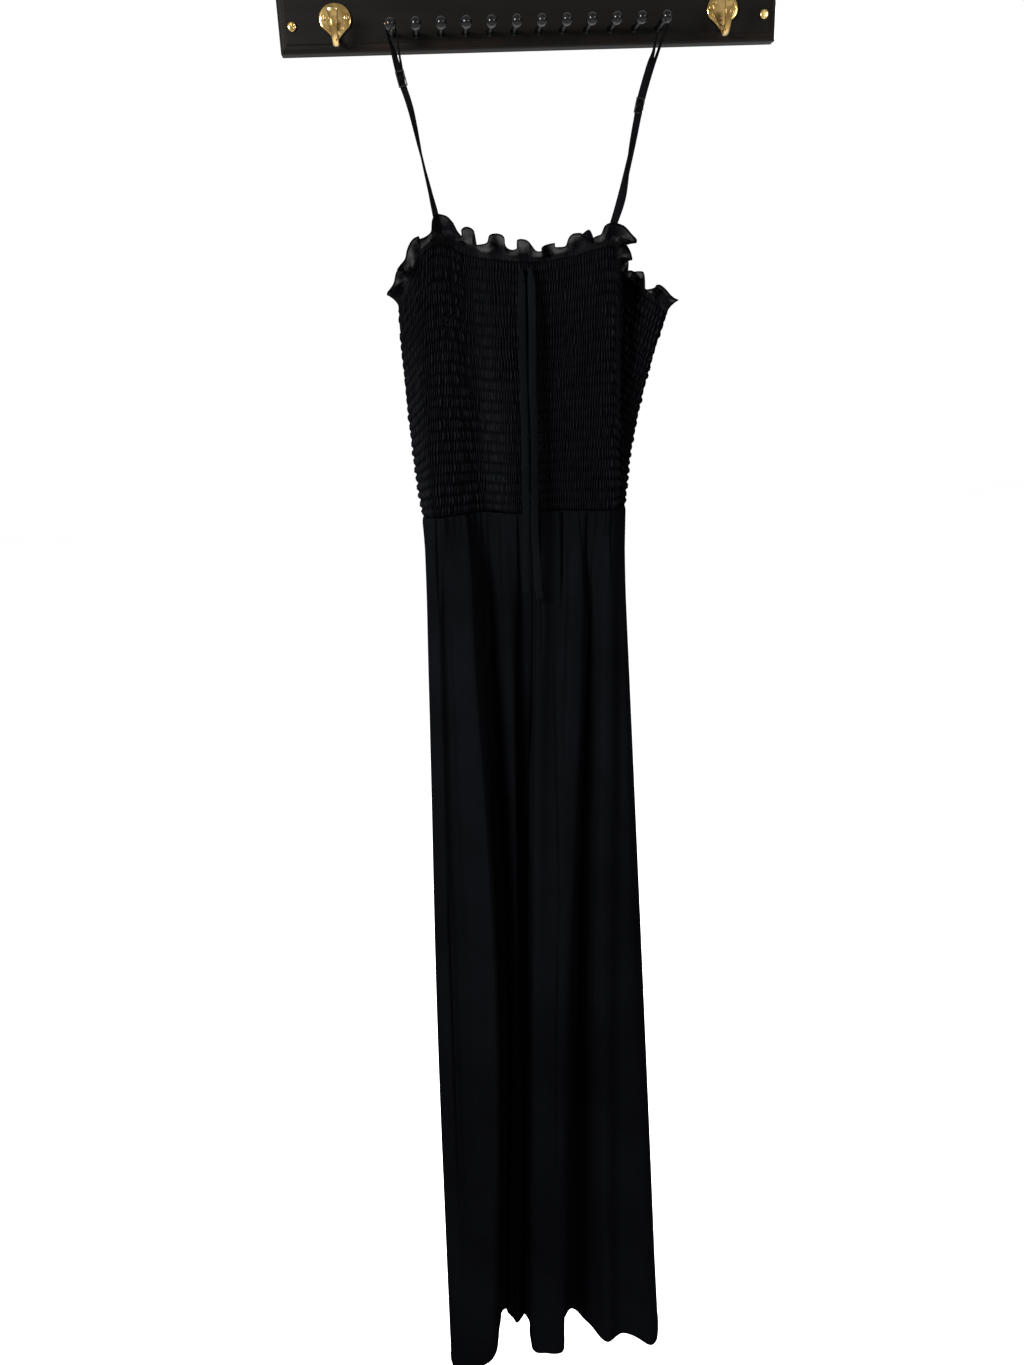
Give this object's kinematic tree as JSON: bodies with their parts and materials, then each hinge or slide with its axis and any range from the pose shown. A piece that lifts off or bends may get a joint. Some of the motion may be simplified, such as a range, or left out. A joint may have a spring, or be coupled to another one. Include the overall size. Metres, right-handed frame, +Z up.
{
  "type": "shirred wide-leg jumpsuit on a wall peg rack",
  "caption": "Wide-leg jumpsuit with a shirred bodice, frilled top edge, thin adjustable straps and neck ties, hung flat from a wall peg rack with brass hooks.",
  "frame": {"origin": "centre of the rack board's back face, where it lies on the wall", "axes": "+Z up, +Y into the wall, the garment's front faces -Y; the wearer's right is -X"},
  "size_m": [0.437, 0.0925, 1.57],
  "materials": {
    "crepe": "matt woven crepe",
    "frill_voile": "thin, slightly sheer cloth with a rolled edge",
    "strap_ribbon": "smooth woven ribbon",
    "tie_crepe": "narrow sewn tube of crepe",
    "slider_plastic": "moulded, slightly glossy",
    "board_wood": "black stained and satin varnished",
    "peg_enamel": "high gloss black enamel",
    "brass": "polished"
  },
  "bodies": {
    "root": {"bodice_front": "crepe", "bodice_back": "crepe", "frill_front": "frill_voile", "frill_back": "frill_voile", "leg_front_right": "crepe", "leg_front_left": "crepe", "leg_back_right": "crepe", "leg_back_left": "crepe", "strap_right": "strap_ribbon", "strap_left": "strap_ribbon", "slider_right": "slider_plastic", "slider_left": "slider_plastic", "tie_right": "tie_crepe", "tie_left": "tie_crepe", "rack_board": "board_wood", "peg_01": "peg_enamel", "peg_02": "peg_enamel", "peg_03": "peg_enamel", "peg_04": "peg_enamel", "peg_05": "peg_enamel", "peg_06": "peg_enamel", "peg_07": "peg_enamel", "peg_08": "peg_enamel", "peg_09": "peg_enamel", "peg_10": "peg_enamel", "peg_11": "peg_enamel", "peg_12": "peg_enamel", "screw_right": "brass", "screw_left": "brass", "hook_right": "brass", "hook_left": "brass", "hook_right_screw_outer": "brass", "hook_right_screw_inner": "brass", "hook_left_screw_outer": "brass", "hook_left_screw_inner": "brass"}
  },
  "joints": []
}
